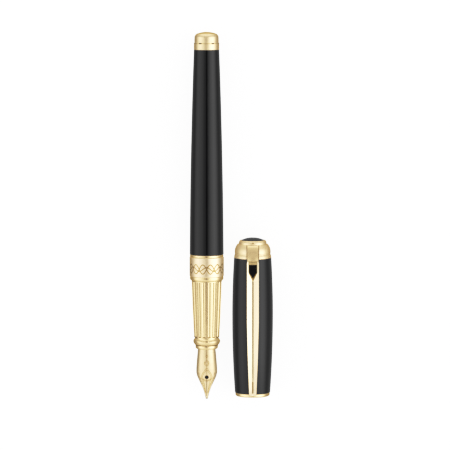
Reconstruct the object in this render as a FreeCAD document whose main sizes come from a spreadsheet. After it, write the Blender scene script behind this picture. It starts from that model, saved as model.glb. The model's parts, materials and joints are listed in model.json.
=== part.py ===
import FreeCAD, Part

import math
import os
from types import SimpleNamespace

import Sketcher

# Fountain pen with its cap laid beside it.  Millimetres, +Z up, resting on z = 0.
# Both axes run along Y: the nib points to -Y, the tail and the crown to +Y.
# Pen stations are measured from the nib's point, cap stations from just before the cap's lip ring.

PEN_DIMENSIONS = {
    "pen_length": 128.1,
    "nib_ring_front": 17.8,
    "nib_ring_radius": 3.89,
    "bead_front": 19.2,
    "bead_peak": 20.4,
    "bead_rear": 21.4,
    "bead_radius": 4.69,
    "bead_edge_radius": 4.05,
    "grip_front": 21.8,
    "grip_rear": 41.75,
    "grip_front_radius": 4.36,
    "grip_rear_radius": 5.25,
    "grip_swell": 0.09,
    "flute_front_radius": 0.75,
    "flute_front_depth": 0.22,
    "flute_rear_radius": 0.9,
    "flute_rear_depth": 0.34,
    "flute_land": 0.35,
    "collar_ring_front": 42.0,
    "collar_ring_radius": 5.77,
    "collar_ring_overlap": 0.2,
    "edge_ease": 0.15,
    "collar_front": 43.3,
    "collar_rear": 49.95,
    "collar_radius": 5.955,
    "nipple_radius": 4.3,
    "nipple_rear": 57.0,
    "core_radius": 4.58,
    "trim_front": 50.1,
    "trim_radius": 5.79,
    "trim_bore": 4.95,
    "seal_radius": 0.28,
    "seal_centre": 4.62,
    "barrel_front": 50.8,
    "barrel_rear": 121.95,
    "barrel_front_radius": 5.895,
    "barrel_rear_radius": 4.39,
    "barrel_swell": 0.27,
    "barrel_wide_bore": 4.25,
    "barrel_wide_bore_rear": 95.0,
    "barrel_bore": 3.95,
    "barrel_bore_rear": 109.5,
    "bush_bore": 4.36,
    "bush_radius": 4.93,
    "bush_rear": 58.2,
    "tail_ring_rear": 124.3,
    "tail_ring_radius": 4.36,
    "tail_neck_radius": 4.19,
    "tail_cap_radius": 4.22,
    "stud_radius": 1.5,
    "stud_front": 111.6,
    "stud_rear": 126.0,
    "nib_thickness": 0.35,
    "nib_hole_at": 7.9,
    "nib_hole_radius": 0.55,
    "nib_slit": 0.12,
    "tipping_width": 0.84,
    "tipping_length": 0.7,
    "tipping_height": 0.84,
    "housing_bore": 3.25,
    "housing_radius": 3.45,
    "housing_rear": 37.5,
    "front_core_radius": 3.85,
    "web_rear": 42.5,
    "fit_gap": 0.02,
    "face_gap": 0.03,
    "play": 0.05,
    "feed_radius": 2.6,
    "feed_tail_radius": 1.3,
    "feed_tail_rear": 45.2,
    "fin_first": 9.0,
    "fin_slot": 0.38,
    "fin_pitch": 0.95,
    "converter_front": 42.6,
    "converter_radius": 3.65,
    "converter_collar_rear": 50.0,
    "tube_radius": 3.25,
    "tube_bore": 2.75,
    "tube_rear": 84.0,
    "sleeve_front": 78.0,
    "sleeve_rear": 92.0,
    "piston_front": 46.5,
    "piston_rear": 50.3,
    "piston_radius": 2.73,
    "rod_radius": 0.95,
    "rod_rear": 82.0,
    "spindle_bore": 1.0,
    "spindle_radius": 1.9,
    "spindle_front": 79.0,
    "spindle_rear": 94.9,
    "knob_front": 92.3,
    "knob_rear": 107.5,
    "knob_radius": 3.3,
    "knurl_radius": 0.22,
}

CAP_DIMENSIONS = {
    "axis_spacing": 16.0,
    "cap_setback": 1.4,
    "lip_front": 0.3,
    "lip_rear": 1.42,
    "lip_radius": 5.98,
    "mouth_radius": 5.42,
    "shell_front_radius": 6.17,
    "shell_widest_at": 28.8,
    "shell_widest_radius": 7.1,
    "shell_front_swell": 0.2325,
    "shell_rear": 48.7,
    "shell_rear_radius": 6.49,
    "shell_rear_swell": 0.1525,
    "shell_bore": 5.75,
    "plug_front": 46.1,
    "cup_front": 20.8,
    "cup_bore": 4.82,
    "cup_floor": 44.8,
    "cup_rear": 45.9,
    "band_rear": 50.0,
    "band_radius": 6.44,
    "crown_groove_radius": 6.18,
    "crown_radius": 6.24,
    "crown_rear": 53.45,
    "crown_rear_radius": 5.27,
    "crown_swell": 0.3,
    "slot_width": 4.4,
    "slot_floor": 3.5,
    "bezel_radius": 4.8,
    "bezel_bore": 3.2,
    "bezel_rear": 54.8,
    "dome_radius": 3.94,
    "dome_swell": 0.2,
    "dome_flat": 0.6,
    "cap_length": 55.7,
    "crown_screw_radius": 1.8,
    "clip_front": 1.1,
    "clip_width": 4.2,
    "clip_tip_width": 2.65,
    "tip_round": 0.3,
    "strap_width": 3.9,
    "strap_front": 48.0,
    "strap_rear": 53.3,
    "clip_taper_from": 27.0,
    "clip_bow": 0.92,
    "clip_hollow": 0.6,
    "window_width": 2.8,
    "window_rear": 47.0,
    "window_shoulder": 44.3,
    "window_point": 42.2,
    "inlay_floor": 7.5,
    "inlay_thickness": 0.35,
    "pivot_at": 51.2,
    "pivot_height": 4.65,
    "pin_radius": 0.5,
    "pin_half_length": 3.0,
    "spring_at": 51.9,
    "spring_radius": 0.55,
    "spring_wire": 0.22,
    "spring_foot": 2.2,
    "spring_top": 3.7,
}

FLUTES = 16
# A ridge between two flutes, not a flute, lies straight above the axis.
HALF_PITCH = math.pi / FLUTES
FINS = 8
KNURLS = 20
FULL_TURN = 360

# The nib's cross-sections: station, half width, crest height and edge height above the axis.
NIB_SECTIONS = (
    (26.0, 2.90, 3.20, 1.35),
    (17.8, 3.05, 3.20, 1.07),
    (15.6, 3.25, 3.10, 0.82),
    (13.0, 3.47, 2.92, 0.50),
    (10.8, 3.63, 2.68, 0.22),
    (9.4, 3.63, 2.48, 0.15),
    (8.2, 3.37, 2.30, 0.30),
    (7.1, 2.88, 2.10, 0.58),
    (5.7, 2.20, 1.85, 0.82),
    (4.2, 1.50, 1.58, 0.95),
    (2.4, 0.88, 1.25, 0.80),
    (0.5, 0.43, 0.95, 0.56),
)

doc = FreeCAD.newDocument("FountainPen")
sheet = doc.addObject("Spreadsheet::Sheet", "Dimensions")
subparts = []


class Size:
    """A length in millimetres that carries its spreadsheet formula along with its value."""

    def __init__(self, formula, value):
        self.formula = formula
        self.value = value

    def __add__(self, other):
        other = as_size(other)
        return Size(f"({self.formula} + {other.formula})", self.value + other.value)

    def __sub__(self, other):
        other = as_size(other)
        return Size(f"({self.formula} - {other.formula})", self.value - other.value)

    def __mul__(self, other):
        other = as_size(other)
        return Size(f"({self.formula} * {other.formula})", self.value * other.value)

    def __truediv__(self, other):
        other = as_size(other)
        return Size(f"({self.formula} / {other.formula})", self.value / other.value)

    def __neg__(self):
        return self * -1


def as_size(number):
    """The number as a Size, so that plain numbers and sheet cells mix in one formula."""
    if isinstance(number, Size):
        return number
    return Size(f"({number})", number)


def fill_sheet(*tables):
    """Writes each named dimension to the sheet and returns them all as Sizes."""
    named = {}
    row = 1
    for table in tables:
        for name, value in table.items():
            sheet.set(f"A{row}", name)
            sheet.set(f"B{row}", str(value))
            sheet.setAlias(f"B{row}", name)
            named[name] = Size(f"Dimensions.{name}", value)
            row += 1
    return SimpleNamespace(**named)


d = fill_sheet(PEN_DIMENSIONS, CAP_DIMENSIONS)

# The pair stands centred on the origin, each of the two resting on its widest ring.
half_span = (d.collar_radius + d.axis_spacing + d.shell_widest_radius) / 2
half_length = d.pen_length / 2
PEN_BASE = (d.collar_radius - half_span, -half_length, d.collar_radius)
CAP_BASE = (
    half_span - d.shell_widest_radius,
    d.cap_setback - d.lip_front - half_length,
    d.shell_widest_radius,
)


# ---------------------------------------------------------------- document helpers


def bind(target, prop, size):
    """Sets a property from a Size and ties it to the sheet."""
    target.setExpression(prop, as_size(size).formula)


def new_body(label, base):
    """A PartDesign body that stands at base and will be written out under its label."""
    body = doc.addObject("PartDesign::Body", label)
    body.Label = label
    for axis, size in zip("xyz", base):
        bind(body, f"Placement.Base.{axis}", size)
    subparts.append(body)
    return body


def origin_feature(body, role):
    return next(feature for feature in body.Origin.OriginFeatures if feature.Role == role)


def new_sketch(body, name, plane="XY_Plane", offset=None):
    """A sketch on one of the body's own origin planes, moved along its normal by offset."""
    sketch = body.newObject("Sketcher::SketchObject", f"{body.Label}_{name}")
    sketch.AttachmentSupport = (origin_feature(body, plane), [""])
    sketch.MapMode = "FlatFace"
    if offset is not None:
        sketch.AttachmentOffset = FreeCAD.Placement(FreeCAD.Vector(0, 0, offset.value), FreeCAD.Rotation())
        bind(sketch, "AttachmentOffset.Base.z", offset)
    return sketch


def arc_through(start, end, bulge):
    """The arc from start to end that stands out by bulge on the right-hand side of its chord."""
    chord = end - start
    radius = (chord.Length**2 / 4 + bulge**2) / (2 * bulge)
    outward = FreeCAD.Vector(chord.y, -chord.x, 0).normalize()
    centre = (start + end) * 0.5 + outward * (bulge - radius)
    circle = Part.Circle(centre, FreeCAD.Vector(0, 0, 1), abs(radius))
    ends = (start, end) if bulge > 0 else (end, start)
    angles = [math.atan2(point.y - centre.y, point.x - centre.x) for point in ends]
    return Part.ArcOfCircle(circle, *angles)


def draw_outline(sketch, corners, prefix="corner"):
    """A closed outline round (across, along[, bulge]) corners, each corner held by the sheet.

    A bulge makes the edge that leaves its corner an arc, standing out by that much on the right.
    """
    corners = [(as_size(c[0]), as_size(c[1]), as_size(c[2]) if len(c) > 2 else None) for c in corners]
    points = [FreeCAD.Vector(c[0].value, c[1].value, 0) for c in corners]
    count = len(corners)
    starts = []
    ends = []
    for i, (_, _, bulge) in enumerate(corners):
        begin, finish = points[i], points[(i + 1) % count]
        if bulge is None:
            edge = sketch.addGeometry(Part.LineSegment(begin, finish))
            first_vertex, last_vertex = 1, 2
        else:
            edge = sketch.addGeometry(arc_through(begin, finish, bulge.value))
            first_vertex, last_vertex = (1, 2) if bulge.value > 0 else (2, 1)
        starts.append((edge, first_vertex))
        ends.append((edge, last_vertex))
    for i in range(count):
        sketch.addConstraint(Sketcher.Constraint("Coincident", *ends[i - 1], *starts[i]))
    for i, (across, along, bulge) in enumerate(corners):
        for kind, size, name in (("DistanceX", across, "across"), ("DistanceY", along, "along")):
            held = sketch.addConstraint(Sketcher.Constraint(kind, -1, 1, *starts[i], size.value))
            sketch.renameConstraint(held, f"{prefix}_{i}_{name}")
            bind(sketch, f"Constraints.{prefix}_{i}_{name}", size)
        if bulge is not None:
            hold_arc(sketch, starts[i][0], corners[i], corners[(i + 1) % count], f"{prefix}_{i}_radius")


def hold_arc(sketch, edge, corner, following, name):
    """Ties an arc's radius to its two corners and its bulge."""
    across = following[0] - corner[0]
    along = following[1] - corner[1]
    rise = corner[2]
    radius = ((across * across + along * along) / 4 + rise * rise) / (rise * 2)
    if radius.value < 0:
        radius = -radius
    held = sketch.addConstraint(Sketcher.Constraint("Radius", edge, radius.value))
    sketch.renameConstraint(held, name)
    bind(sketch, f"Constraints.{name}", radius)


def draw_circle(sketch, across, along, radius):
    """A circle whose centre and radius are held by the sheet."""
    across, along, radius = as_size(across), as_size(along), as_size(radius)
    centre = FreeCAD.Vector(across.value, along.value, 0)
    ring = sketch.addGeometry(Part.Circle(centre, FreeCAD.Vector(0, 0, 1), radius.value))
    for kind, size in (("DistanceX", across), ("DistanceY", along)):
        held = sketch.addConstraint(Sketcher.Constraint(kind, -1, 1, ring, 3, size.value))
        sketch.renameConstraint(held, f"{kind}_{ring}")
        bind(sketch, f"Constraints.{kind}_{ring}", size)
    held = sketch.addConstraint(Sketcher.Constraint("Radius", ring, radius.value))
    sketch.renameConstraint(held, f"ring_{ring}_radius")
    bind(sketch, f"Constraints.ring_{ring}_radius", radius)


def turned(label, outline, base):
    """A solid of revolution about the body's Y axis; the outline is (radius, station[, bulge])."""
    body = new_body(label, base)
    sketch = new_sketch(body, "section")
    draw_outline(sketch, outline)
    revolution = body.newObject("PartDesign::Revolution", f"{label}_revolution")
    revolution.Profile = sketch
    revolution.ReferenceAxis = (sketch, ["V_Axis"])
    revolution.Angle = FULL_TURN
    return body


def ring(label, bore, radius, front, rear, base, ease=0.08):
    """A plain turned ring whose two outer edges are eased."""
    outline = [
        (bore, front),
        (radius - ease, front),
        (radius, front + ease),
        (radius, rear - ease),
        (radius - ease, rear),
        (bore, rear),
    ]
    return turned(label, outline, base)


def pocket_through(body, sketch):
    """Cuts the sketch through the whole body, both ways from its plane."""
    pocket = body.newObject("PartDesign::Pocket", f"{sketch.Name}_pocket")
    pocket.Profile = sketch
    pocket.Type = "ThroughAll"
    pocket.SideType = "Symmetric"
    return pocket


def trim_to_outline(body, name, outline, margin):
    """Cuts away everything that lies outside the outline, seen along Z."""
    sketch = new_sketch(body, name)
    across = [as_size(corner[0]).value for corner in outline]
    along = [as_size(corner[1]).value for corner in outline]
    left, right = min(across) - margin, max(across) + margin
    front, rear = min(along) - margin, max(along) + margin
    draw_outline(sketch, [(left, front), (right, front), (right, rear), (left, rear)], "frame")
    draw_outline(sketch, outline)
    return pocket_through(body, sketch)


def repeat_round(body, feature, count):
    """Repeats a feature evenly about the body's Y axis."""
    pattern = body.newObject("PartDesign::PolarPattern", f"{feature.Name}_pattern")
    pattern.Originals = [feature]
    pattern.Axis = (origin_feature(body, "Y_Axis"), [""])
    pattern.Angle = FULL_TURN
    pattern.Occurrences = count
    body.Tip = pattern


def loft(body, kind, sketches, name):
    """A loft through the sketches; kind is AdditiveLoft or SubtractiveLoft."""
    feature = body.newObject(f"PartDesign::{kind}", f"{body.Label}_{name}")
    feature.Profile = sketches[0]
    feature.Sections = sketches[1:]
    return feature


# ---------------------------------------------------------------- writing unit


def make_collar():
    """The broad cylindrical collar band and the narrow ring before it."""
    ring("collar_band", d.core_radius + d.fit_gap, d.collar_radius, d.collar_front, d.collar_rear, PEN_BASE)
    lip = d.collar_ring_front
    turned(
        "collar_ring",
        [
            (d.core_radius + d.fit_gap, lip - d.collar_ring_overlap),
            (d.grip_rear_radius + d.edge_ease, lip - d.collar_ring_overlap),
            (d.collar_ring_radius, lip + d.edge_ease, 0.05),
            (d.collar_ring_radius, d.collar_front - d.edge_ease),
            (d.collar_ring_radius - d.edge_ease, d.collar_front - d.face_gap),
            (d.core_radius + d.fit_gap, d.collar_front - d.face_gap),
        ],
        PEN_BASE,
    )


def make_grip():
    """The plated grip, a slightly swelling cone with lengthwise flutes."""
    body = turned(
        "grip",
        [
            (d.front_core_radius + d.fit_gap, d.grip_front),
            (d.grip_front_radius, d.grip_front, d.grip_swell),
            (d.grip_rear_radius, d.grip_rear),
            (d.front_core_radius + d.fit_gap, d.grip_rear),
        ],
        PEN_BASE,
    )
    front, rear = d.grip_front + d.flute_land, d.grip_rear - d.flute_land
    ends = (
        ("front", front, d.grip_front_radius, d.flute_front_radius, d.flute_front_depth),
        ("rear", rear, d.grip_rear_radius, d.flute_rear_radius, d.flute_rear_depth),
    )
    circles = []
    for name, station, surface, radius, depth in ends:
        sketch = new_sketch(body, f"flute_{name}", "XZ_Plane", -station)
        reach = surface + radius - depth
        draw_circle(sketch, reach * math.sin(HALF_PITCH), reach * math.cos(HALF_PITCH), radius)
        circles.append(sketch)
    flute = loft(body, "SubtractiveLoft", circles, "flute")
    repeat_round(body, flute, FLUTES)


def make_front_rings():
    """The swelling bead before the grip and the lip ring that the nib comes out of."""
    bore = d.front_core_radius + d.fit_gap
    turned(
        "bead_ring",
        [
            (bore, d.bead_front),
            (d.bead_edge_radius, d.bead_front, 0.12),
            (d.bead_radius, d.bead_peak, 0.12),
            (d.bead_edge_radius + 0.06, d.bead_rear),
            (d.bead_edge_radius + 0.06, d.grip_front - d.fit_gap),
            (bore, d.grip_front - d.fit_gap),
        ],
        PEN_BASE,
    )
    turned(
        "nib_ring",
        [
            (d.housing_bore + d.play, d.nib_ring_front),
            (d.nib_ring_radius - 0.33, d.nib_ring_front, 0.1),
            (d.nib_ring_radius, d.nib_ring_front + 0.6),
            (d.nib_ring_radius, d.bead_front - 0.25),
            (d.bead_edge_radius - d.fit_gap, d.bead_front - d.fit_gap),
            (d.housing_bore + d.play, d.bead_front - d.fit_gap),
        ],
        PEN_BASE,
    )


def make_core():
    """The metal core inside the grip and collar, ending in the nipple that takes the barrel."""
    turned(
        "section_core",
        [
            (d.housing_radius + d.fit_gap, d.bead_front + d.play),
            (d.front_core_radius, d.bead_front + d.play),
            (d.front_core_radius, d.grip_rear + d.play),
            (d.core_radius, d.grip_rear + d.play),
            (d.core_radius, d.collar_rear),
            (d.nipple_radius, d.collar_rear),
            (d.nipple_radius, d.nipple_rear - 0.4),
            (d.nipple_radius - 0.3, d.nipple_rear),
            (d.converter_radius + d.play, d.nipple_rear),
            (d.converter_radius + d.play, d.web_rear),
            (d.feed_tail_radius + d.play, d.web_rear),
            (d.feed_tail_radius + d.play, d.housing_rear + 0.1),
            (d.housing_radius + d.fit_gap, d.housing_rear + 0.1),
        ],
        PEN_BASE,
    )
    turned(
        "nib_housing",
        [
            (d.housing_bore, d.bead_front + d.play),
            (d.housing_radius, d.bead_front + d.play),
            (d.housing_radius, d.housing_rear),
            (d.housing_bore, d.housing_rear),
        ],
        PEN_BASE,
    )


def make_nib():
    """The bowed nib sheet: its width, crest and edges pass through a few cross-sections."""
    body = new_body("nib", PEN_BASE)
    sections = []
    for i, (station, half_width, crest, edge) in enumerate(NIB_SECTIONS):
        sketch = new_sketch(body, f"bow_{i}", "XZ_Plane", as_size(-station))
        inner_half = as_size(half_width) - d.nib_thickness * 0.85
        bow = [
            (half_width, edge, crest - edge),
            (-half_width, edge),
            (-inner_half, edge, d.nib_thickness - (crest - edge)),
            (inner_half, edge),
        ]
        draw_outline(sketch, bow)
        sections.append(sketch)
    loft(body, "AdditiveLoft", sections, "sheet").Ruled = True

    tip = NIB_SECTIONS[-1][0]
    openings = new_sketch(body, "slit")
    half_slit = d.nib_slit / 2
    slit = [
        (-half_slit, tip - 0.5),
        (half_slit, tip - 0.5),
        (half_slit, d.nib_hole_at),
        (-half_slit, d.nib_hole_at),
    ]
    draw_outline(openings, slit)
    pocket_through(body, openings)
    hole = new_sketch(body, "breather_hole")
    draw_circle(hole, 0, d.nib_hole_at, d.nib_hole_radius)
    pocket_through(body, hole)


def make_tipping():
    """The hard writing pellet under the nib's point, ground to flats on every side."""
    edge = NIB_SECTIONS[-1][3]
    half, length, height = d.tipping_width / 2, d.tipping_length, d.tipping_height
    body = new_body("nib_tipping", (PEN_BASE[0], PEN_BASE[1], PEN_BASE[2] + edge - d.fit_gap))
    side = new_sketch(body, "side", "YZ_Plane")
    draw_outline(
        side,
        [
            (length * 0.2, 0),
            (0, -height * 0.25),
            (0, -height * 0.6),
            (length * 0.3, -height),
            (length * 0.7, -height),
            (length, -height * 0.55),
            (length, 0),
        ],
    )
    pad = body.newObject("PartDesign::Pad", "nib_tipping_pad")
    pad.Profile = side
    pad.SideType = "Symmetric"
    bind(pad, "Length", d.tipping_width)
    plan = [
        (half * 0.5, 0),
        (half, length * 0.3),
        (half, length * 0.7),
        (half * 0.75, length),
        (-half * 0.75, length),
        (-half, length * 0.7),
        (-half, length * 0.3),
        (-half * 0.5, 0),
    ]
    trim_to_outline(body, "plan", plan, 1)


def make_feed():
    """The feed under the nib: a tapering rod with ring fins and a tail into the converter."""
    body = turned(
        "feed",
        [
            (0, 3.9),
            (0.75, 3.9),
            (1.5, 7.3),
            (1.95, 9.8),
            (2.35, 13.6),
            (d.feed_radius, 17.8),
            (d.feed_radius, d.housing_rear),
            (d.feed_tail_radius, d.housing_rear),
            (d.feed_tail_radius, d.feed_tail_rear),
            (0, d.feed_tail_rear),
        ],
        PEN_BASE,
    )
    sketch = new_sketch(body, "fin_slot")
    slot = [
        (1.25, d.fin_first),
        (d.feed_radius + 0.5, d.fin_first),
        (d.feed_radius + 0.5, d.fin_first + d.fin_slot),
        (1.25, d.fin_first + d.fin_slot),
    ]
    draw_outline(sketch, slot)
    groove = body.newObject("PartDesign::Groove", "feed_fin_slot_groove")
    groove.Profile = sketch
    groove.ReferenceAxis = (sketch, ["V_Axis"])
    groove.Angle = FULL_TURN
    fins = body.newObject("PartDesign::LinearPattern", "feed_fins")
    fins.Originals = [groove]
    fins.Direction = (origin_feature(body, "Y_Axis"), [""])
    bind(fins, "Length", d.fin_pitch * (FINS - 1))
    fins.Occurrences = FINS
    body.Tip = fins


# ---------------------------------------------------------------- converter


def make_converter():
    """The ink converter: mouth collar, clear tube and the metal sleeve before its knob."""
    over_tube = d.tube_radius + d.fit_gap
    turned(
        "converter_collar",
        [
            (d.feed_tail_radius + 0.1, d.converter_front),
            (d.converter_radius - 0.1, d.converter_front),
            (d.converter_radius, d.converter_front + 0.1),
            (d.converter_radius, d.converter_collar_rear),
            (over_tube, d.converter_collar_rear),
            (over_tube, d.converter_front + 0.6),
            (d.feed_tail_radius + 0.1, d.converter_front + 0.6),
        ],
        PEN_BASE,
    )
    mouth = d.converter_front + 0.65
    turned(
        "converter_tube",
        [
            (d.feed_tail_radius + d.play, mouth),
            (d.tube_radius, mouth),
            (d.tube_radius, d.tube_rear),
            (d.tube_bore, d.tube_rear),
            (d.tube_bore, d.piston_front - 0.3),
            (d.feed_tail_radius + d.play, d.piston_front - 0.6),
        ],
        PEN_BASE,
    )
    turned(
        "converter_sleeve",
        [
            (over_tube, d.sleeve_front),
            (d.converter_radius - 0.1, d.sleeve_front),
            (d.converter_radius, d.sleeve_front + 0.1),
            (d.converter_radius, d.sleeve_rear - 0.2),
            (d.converter_radius - 0.2, d.sleeve_rear),
            (d.spindle_radius + d.play, d.sleeve_rear),
            (d.spindle_radius + d.play, d.tube_rear + 0.1),
            (over_tube, d.tube_rear + 0.1),
        ],
        PEN_BASE,
    )


def make_piston():
    """The rubber piston with its two sealing lips, and the rod that draws it back."""
    lip = 0.9
    waist = d.piston_radius - 0.25
    turned(
        "piston_seal",
        [
            (0, d.piston_front),
            (waist, d.piston_front),
            (d.piston_radius, d.piston_front + 0.2),
            (d.piston_radius, d.piston_front + lip),
            (waist, d.piston_front + lip + 0.2),
            (waist, d.piston_rear - lip - 0.2),
            (d.piston_radius, d.piston_rear - lip),
            (d.piston_radius, d.piston_rear - 0.2),
            (waist, d.piston_rear),
            (0, d.piston_rear),
        ],
        PEN_BASE,
    )
    turned(
        "piston_rod",
        [
            (0, d.piston_rear + d.fit_gap),
            (1.8, d.piston_rear + d.fit_gap),
            (1.8, d.piston_rear + 0.9),
            (d.rod_radius, d.piston_rear + 1.3),
            (d.rod_radius, d.rod_rear),
            (0, d.rod_rear),
        ],
        PEN_BASE,
    )


def make_knob():
    """The converter's knurled knob and the hollow spindle that turns with it."""
    turned(
        "spindle",
        [
            (d.spindle_bore, d.spindle_front),
            (d.spindle_radius, d.spindle_front),
            (d.spindle_radius, d.spindle_rear),
            (d.spindle_bore, d.spindle_rear),
        ],
        PEN_BASE,
    )
    body = turned(
        "knob",
        [
            (d.spindle_radius + d.fit_gap, d.knob_front),
            (d.knob_radius - 0.2, d.knob_front),
            (d.knob_radius, d.knob_front + 0.2),
            (d.knob_radius, d.knob_rear - 0.5, 0.12),
            (d.knob_radius - 0.6, d.knob_rear),
            (0, d.knob_rear),
            (0, d.knob_rear - 1.5),
            (d.spindle_bore, d.knob_rear - 1.5),
            (d.spindle_bore, d.spindle_rear + d.play),
            (d.spindle_radius + d.fit_gap, d.spindle_rear + d.play),
        ],
        PEN_BASE,
    )
    circles = []
    for name, station in (("front", d.knob_front + 1.2), ("rear", d.knob_rear - 1.5)):
        sketch = new_sketch(body, f"knurl_{name}", "XZ_Plane", -station)
        draw_circle(sketch, 0, d.knob_radius + d.play, d.knurl_radius)
        circles.append(sketch)
    knurl = loft(body, "SubtractiveLoft", circles, "knurl")
    repeat_round(body, knurl, KNURLS)


# ---------------------------------------------------------------- barrel


def make_barrel():
    """The lacquered barrel with its thread bush, and the two rings that ride before it."""
    turned(
        "barrel",
        [
            (d.bush_radius + d.fit_gap, d.barrel_front + d.face_gap),
            (d.barrel_front_radius - d.edge_ease, d.barrel_front + d.face_gap),
            (d.barrel_front_radius, d.barrel_front + d.edge_ease, d.barrel_swell),
            (d.barrel_rear_radius, d.barrel_rear),
            (d.stud_radius + d.play, d.barrel_rear),
            (d.stud_radius + d.play, d.stud_front + 1.9),
            (d.stud_radius + 1.2, d.stud_front + 1.9),
            (d.stud_radius + 1.2, d.stud_front - 0.2),
            (d.barrel_bore, d.barrel_bore_rear),
            (d.barrel_bore, d.barrel_wide_bore_rear),
            (d.barrel_wide_bore, d.barrel_wide_bore_rear - 1),
            (d.barrel_wide_bore, d.bush_rear + d.play),
            (d.bush_radius + d.fit_gap, d.bush_rear + d.play),
        ],
        PEN_BASE,
    )
    turned(
        "barrel_bush",
        [
            (d.bush_bore, d.barrel_front + 0.1),
            (d.bush_radius, d.barrel_front + 0.1),
            (d.bush_radius, d.bush_rear),
            (d.bush_bore, d.bush_rear),
        ],
        PEN_BASE,
    )
    ring("barrel_trim", d.trim_bore, d.trim_radius, d.trim_front, d.barrel_front, PEN_BASE)
    seal = new_body("barrel_seal", PEN_BASE)
    cord = new_sketch(seal, "cord")
    draw_circle(cord, d.seal_centre, (d.collar_rear + d.barrel_front + 0.1) / 2, d.seal_radius)
    turn = seal.newObject("PartDesign::Revolution", "barrel_seal_revolution")
    turn.Profile = cord
    turn.ReferenceAxis = (cord, ["V_Axis"])
    turn.Angle = FULL_TURN


def make_tail():
    """The tail ring, the domed tail cap and the screw that holds both on the barrel."""
    screw_hole = d.stud_radius + d.play
    ring("tail_ring", screw_hole, d.tail_ring_radius, d.barrel_rear + d.fit_gap, d.tail_ring_rear, PEN_BASE)
    dome_foot = d.pen_length - 0.65
    turned(
        "tail_cap",
        [
            (screw_hole, d.tail_ring_rear + d.fit_gap),
            (d.tail_neck_radius, d.tail_ring_rear + d.fit_gap),
            (d.tail_neck_radius, d.tail_ring_rear + 0.45),
            (d.tail_cap_radius, d.tail_ring_rear + 0.55),
            (d.tail_cap_radius - 0.04, d.pen_length - 2.1, 0.22),
            (d.tail_cap_radius - 0.77, dome_foot, 0.12),
            (d.dome_flat, d.pen_length),
            (0, d.pen_length),
            (0, d.stud_rear + d.play),
            (screw_hole, d.stud_rear + d.play),
        ],
        PEN_BASE,
    )
    turned(
        "tail_screw",
        [
            (0, d.stud_front),
            (d.stud_radius + 1.1, d.stud_front),
            (d.stud_radius + 1.1, d.stud_front + 1.8),
            (d.stud_radius, d.stud_front + 1.8),
            (d.stud_radius, d.stud_rear),
            (0, d.stud_rear),
        ],
        PEN_BASE,
    )


# ---------------------------------------------------------------- cap


def make_cap_tube():
    """The lacquered cap shell, its lip ring, the liner and the inner cup round the nib."""
    inside_shell = d.shell_bore - d.fit_gap
    turned(
        "cap_lip",
        [
            (d.mouth_radius, d.lip_front),
            (d.lip_radius - 0.3, d.lip_front, 0.08),
            (d.lip_radius, d.lip_front + 0.5),
            (d.lip_radius, d.lip_rear - 0.12),
            (d.lip_radius - 0.1, d.lip_rear),
            (d.mouth_radius, d.lip_rear),
        ],
        CAP_BASE,
    )
    turned(
        "cap_shell",
        [
            (d.shell_bore, d.lip_rear + d.face_gap),
            (d.shell_front_radius - 0.1, d.lip_rear + d.face_gap),
            (d.shell_front_radius, d.lip_rear + 0.13, d.shell_front_swell),
            (d.shell_widest_radius, d.shell_widest_at, d.shell_rear_swell),
            (d.shell_rear_radius, d.shell_rear),
            (d.shell_bore, d.shell_rear),
        ],
        CAP_BASE,
    )
    turned(
        "cap_liner",
        [
            (d.mouth_radius, d.lip_rear + d.face_gap),
            (inside_shell, d.lip_rear + d.face_gap),
            (inside_shell, d.cup_front),
            (d.mouth_radius, d.cup_front),
        ],
        CAP_BASE,
    )
    turned(
        "cap_cup",
        [
            (d.cup_bore + 0.3, d.cup_front + d.play),
            (inside_shell, d.cup_front + d.play),
            (inside_shell, d.cup_rear),
            (d.crown_screw_radius + d.play, d.cup_rear),
            (d.crown_screw_radius + d.play, d.cup_floor),
            (d.cup_bore, d.cup_floor),
            (d.cup_bore, d.cup_front + 0.4),
        ],
        CAP_BASE,
    )


def cut_clip_slot(body, base_station):
    """Opens the clip's slot in a turned crown part, from the slot's floor outwards."""
    sketch = new_sketch(body, "clip_slot", "XZ_Plane", -base_station)
    half = d.slot_width / 2
    outer = d.shell_widest_radius
    draw_outline(sketch, [(-half, d.slot_floor), (half, d.slot_floor), (half, outer), (-half, outer)])
    pocket_through(body, sketch)


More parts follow.
